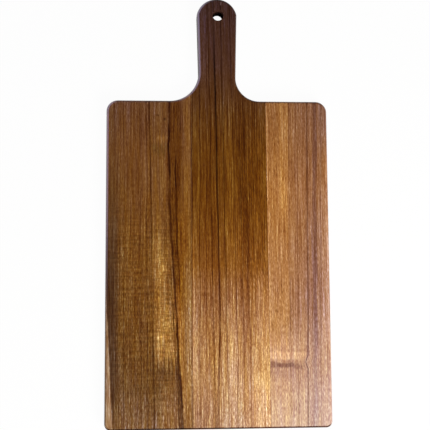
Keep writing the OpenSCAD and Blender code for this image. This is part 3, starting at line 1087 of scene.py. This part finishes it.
# %% Right stave: healed wound
right.stain(right.field(50, 92, -150, -134, soft=(6.0, 5.0)), (1.06, 1.07, 1.06))
bright_band = right.field(48, 90, -154.3, -146.5, soft=(7.0, 1.2), ragged=(2.0, 1.5))
right.stain(bright_band, (1.26, 1.34, 1.32))
crease_left = right.field(48, 58, -162.4, -156.2, soft=(3.0, 0.9), ragged=(1.0, 1.0))
crease_middle = right.field(58, 76, -162.0, -157.8, soft=(3.0, 1.1), ragged=(1.0, 1.0))
crease_right = right.field(75, 87, -164.0, -158.6, soft=(3.0, 1.5), ragged=(1.0, 1.0))
right.stain(crease_left, (0.64, 0.56, 0.58))
right.stain(crease_middle, (0.55, 0.47, 0.5))
right.stain(crease_right, (0.7, 0.63, 0.66))
right.stain(right.field(54, 88, -182, -160, soft=(6.0, 8.0)), (0.95, 0.93, 0.98))
right.stain(right.field(30, 74, -240, -172, soft=(4.0, 8.0)), (1.1, 1.09, 1.02))
print(right.material.name, "has", len(right.tree.nodes), "nodes with its wound")

# %% [markdown]
# Lines of the right stave
# A few thin growth lines and a bright edge along the leaning joint complete this stave. The dark flecks of
# open pores lie only in its golden band.

# %% Right stave: lines and fibres
right.stain(right.line(73.5, -43, (1.0, 0.6), 1.0, wobble=1.2, breaks=0.7)["Line"], (0.66, 0.56, 0.5))
right.stain(right.line(92.6, -43, (0.7, 1.6), 1.1, wobble=0.3, breaks=0.2)["Line"], (0.48, 0.4, 0.4))
right.stain(right.line(106.0, -43, (1.9, 1.75), 0.8, wobble=0.3)["Line"], (0.68, 0.6, 0.58))
right.stain(right.line(83.0, 20, (1.4, 1.2), 0.8)["Line"], (0.75, 0.69, 0.66))
joint_slope = math.tan(joint_lean)
joint_middle = (right_glue[1] + foot * joint_slope) / MM
bright_edge = right.seam(joint_middle + 0.5, -LEAN_RUN * joint_slope, 1.0)
shown_edge = right.both(bright_edge, right.fade(-165, -135), right.fade(115, 90))
right.stain(right.both(shown_edge, right.fade(-90, -40, 0.6, 1.0)), (1.4, 1.52, 1.75))
in_gold = right.field(30, 74, -140, 130)
right.stain(right.both(in_gold, right.flecks(0.8, 6.0, 0.62, 3.0)), (0.6, 0.5, 0.4))
right.finish(
    Bands=0.05, Broad=0.1, Fine=right.fade(-110, -170, 0.6, 0.3), Short=0.34,
    Hair=right.fade(40, -160, 0.42, 0.5), Pores=0.22, Hue=0.18,
    **{"Blue swing": right.fade(-100, -170, 1.65, 1.05)},
)

# %% [markdown]
# Glue and the drilled hole
# Cured glue is a thin dark film that shows as a hairline. The wall of the drilled hole is bare wood which
# no oil or polish reaches, so it is matt and has no gloss at all. It is painted paler near the upper face,
# as painted light that falls in there, and dark deeper down, as painted shade inside the hole. Both read
# the same place and streak groups as the staves, but they need no layers, so a small function is enough.

# %% Glue and the hole's wall
LIT_RIM_DEPTHS = (11.5, 14.0)
PLAIN_STREAKS = {"Width": 2.0, "Length": 9.0, "Seed": 4.0}


def plain_finish(name, dark, light, roughness, gloss, rim=None):
    """A material with two tones in short streaks, and a paler tone of painted light near the upper face."""
    material = bpy.data.materials.new(name)
    material.use_nodes = True
    tree = material.node_tree
    spot = use(tree, grain_place, {"Wander": 0.0})
    values = {label: spot[label] for label in SPACE}
    mask = use(tree, streaks, {**values, **PLAIN_STREAKS})["Value"]
    colour = blend(tree, mask, dark, light)
    # A rim tone is painted light, paler near the upper face, over the darker tones below it.
    if rim:
        colour = blend(tree, step(tree, spot["Depth"], *LIT_RIM_DEPTHS), colour, rim)
    shader = tree.nodes["Principled BSDF"].inputs
    feed(tree, shader["Base Color"], colour)
    shader["Roughness"].default_value = roughness
    shader["Specular IOR Level"].default_value = gloss
    print(name, "has", len(tree.nodes), "nodes")
    return material


glue = plain_finish("glue_line", tone(58, 30, 10), tone(98, 60, 28), roughness=0.6, gloss=0.4)
# The hole's wall: dark tones as painted shade deeper down, and a paler rim as painted light near the top.
bore_wall_painted_light_and_shade = plain_finish(
    "bore_wall_painted_light_and_shade", tone(36, 22, 17), tone(46, 29, 22), roughness=1.0, gloss=0.0, rim=tone(72, 46, 38)
)

# %% [markdown]
# Putting the board together
# Every piece rides on the board's one body and stands in for the CAD node of the same shape, which is
# hidden. Only the handle's piece has a second material, for the wall of the hole.

# %% Dress the pieces
finishes = {
    "left_board": ("left_stave", "left_stave_wood", [left.material]),
    "handle_board": ("centre_stave", "centre_stave_wood", [middle.material, bore_wall_painted_light_and_shade]),
    "right_board": ("right_stave", "right_stave_wood", [right.material]),
    "left_seam": ("left_glue_line", "glue", [glue]),
    "right_seam": ("right_glue_line", "glue", [glue]),
}
for name, (node, slot, materials) in finishes.items():
    piece = pieces[name]
    for material in materials:
        piece.data.materials.append(material)
    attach(piece, "root")
    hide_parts(node)
    print(name, "stands in for", node)

# %% [markdown]
# The floor
# The board lies on white paper that fades out into the background. A white floor under a soft light is grey
# in places, so the floor glows a little for the camera and for reflections, and is plain matt paper for all
# other light. That keeps the shadow under the board and the warm light it throws back.

# %% Lay the floor
FLOOR_GAP = 0.2 * MM
FLOOR_SIZE = 12.0
GLOW_SHARE = 0.97
PAPER_WHITE = (0.9, 0.9, 0.9, 1.0)

floor_bm = bmesh.new()
bmesh.ops.create_grid(floor_bm, x_segments=1, y_segments=1, size=FLOOR_SIZE)
bmesh.ops.translate(floor_bm, verts=floor_bm.verts[:], vec=(0.0, 0.0, -FLOOR_GAP))
floor_mesh = bpy.data.meshes.new("floor")
floor_bm.to_mesh(floor_mesh)
floor_bm.free()
floor = bpy.data.objects.new("floor", floor_mesh)
bpy.context.scene.collection.objects.link(floor)

paper = bpy.data.materials.new("floor_paper")
paper.use_nodes = True
tree = paper.node_tree
tree.nodes.clear()
rays = add(tree, "LightPath").outputs
matt = add(tree, "BsdfDiffuse", {"Color": PAPER_WHITE}).outputs[0]
glow = add(tree, "Emission", {"Strength": 1.0}).outputs[0]
seen = calc(tree, "MAXIMUM", rays["Is Camera Ray"], rays["Is Glossy Ray"])
seen = calc(tree, "MAXIMUM", seen, rays["Is Transmission Ray"])
share = calc(tree, "MULTIPLY", seen, GLOW_SHARE)
surface = add(tree, "MixShader", {0: share, 1: matt, 2: glow}).outputs[0]
add(tree, "OutputMaterial", {"Surface": surface})
floor_mesh.materials.append(paper)
print("Floor", round(FLOOR_GAP / MM, 1), "mm below the board")

# %% [markdown]
# The light
# A warm window at the lower right lights the wood. At the upper left hangs a cool, pale reflection card, as
# a product photographer would hang it: it lights nothing by itself, but its reflection runs along every
# edge that is rounded towards it. The sky is white at the horizon, where the floor runs into it, and dim
# overhead, so that the flat face does not mirror it and the wood keeps its depth.

# %% Set the lamps and the sky
SKY_HEIGHTS = (0.0, 0.35)
HORIZON_LIGHT = 1.0
ZENITH_LIGHT = 0.08

world = bpy.data.worlds.new("studio")
world.use_nodes = True
tree = world.node_tree
way = add(tree, "TexCoord").outputs["Generated"]
height = add(tree, "SeparateXYZ", {0: way}).outputs["Z"]
sky = tree.nodes["Background"].inputs
fall_off = step(tree, height, *SKY_HEIGHTS, smooth=False, first=HORIZON_LIGHT, last=ZENITH_LIGHT)
feed(tree, sky["Strength"], fall_off)
sky["Color"].default_value = (1.0, 1.0, 1.0, 1.0)
bpy.context.scene.world = world


def soft_box(name, place, aim, size, watts, colour):
    """An area lamp that looks at a point."""
    data = bpy.data.lights.new(name, "AREA")
    data.shape = "RECTANGLE"
    data.size, data.size_y = size
    data.energy = watts
    data.color = colour
    lamp = bpy.data.objects.new(name, data)
    lamp.location = place
    lamp.rotation_euler = (Vector(aim) - Vector(place)).to_track_quat("-Z", "Y").to_euler()
    bpy.context.scene.collection.objects.link(lamp)
    print(name, watts, "W")
    return lamp


soft_box(
    "warm_window", place=(0.40, -0.60, 0.72), aim=(0.05, -0.15, 0.0), size=(0.5, 0.5),
    watts=13.6, colour=(1.0, 0.97, 0.92),
)
card = soft_box(
    "cool_card", place=(-0.82, 0.4, 0.5), aim=(-0.04, -0.24, 0.0), size=(1.7, 1.1),
    watts=11.5, colour=(0.74, 0.62, 1.0),
)
card.visible_diffuse = False
bpy.context.scene.view_settings.view_transform = "Standard"

# %% [markdown]
# The box
# The dressed board has to fill the same box as the CAD model, which is printed at the start.
